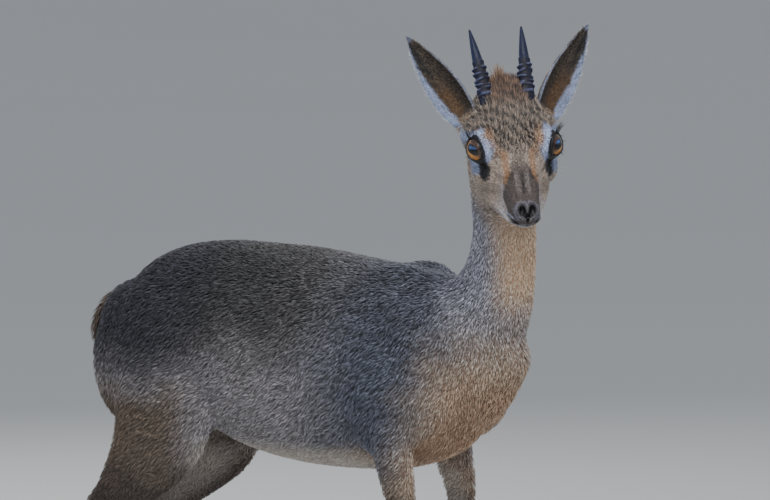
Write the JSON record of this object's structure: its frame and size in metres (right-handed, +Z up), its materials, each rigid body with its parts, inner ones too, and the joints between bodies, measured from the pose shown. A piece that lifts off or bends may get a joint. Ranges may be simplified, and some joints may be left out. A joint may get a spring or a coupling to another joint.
{
  "type": "standing dik-dik",
  "caption": "Small antelope standing with its head turned to its right, with short ringed horns, upright cupped ears, large eyes, a pointed muzzle and slim legs on split hooves.",
  "frame": {"origin": "centre of the bounding box, on the floor that the hooves stand on", "axes": "+X ahead of the trunk, +Y to the animal's left, +Z up"},
  "size_m": [0.4598, 0.124, 0.542],
  "materials": {
    "back_coat": "short dark grey-brown coat, ticked with pale tips",
    "neck_coat": "short grey-tan coat with rusty streaks",
    "head_coat": "short tan coat, grizzled on the forehead, reddish on the crest",
    "foreleg_coat": "short orange-tan coat",
    "hindleg_coat": "short brown coat",
    "tail_coat": "short dark brown coat",
    "ear_coat": "thin ear, dark grey-brown, with a white fringe inside",
    "horn": "blue-black ringed horn, smooth at the tip",
    "eye": "wet dark orange-brown eye",
    "hoof": "black hoof"
  },
  "bodies": {
    "root": {"torso": "back_coat", "neck": "neck_coat", "head": "head_coat", "ear_left": "ear_coat", "ear_right": "ear_coat", "eye_left": "eye", "eye_right": "eye", "horn_left": "horn", "horn_right": "horn", "foreleg_left": "foreleg_coat", "foreleg_right": "foreleg_coat", "hindleg_left": "hindleg_coat", "hindleg_right": "hindleg_coat", "tail": "tail_coat", "hoof_fore_left_inner": "hoof", "hoof_fore_left_outer": "hoof", "hoof_fore_right_inner": "hoof", "hoof_fore_right_outer": "hoof", "hoof_hind_left_inner": "hoof", "hoof_hind_left_outer": "hoof", "hoof_hind_right_inner": "hoof", "hoof_hind_right_outer": "hoof"}
  },
  "joints": []
}
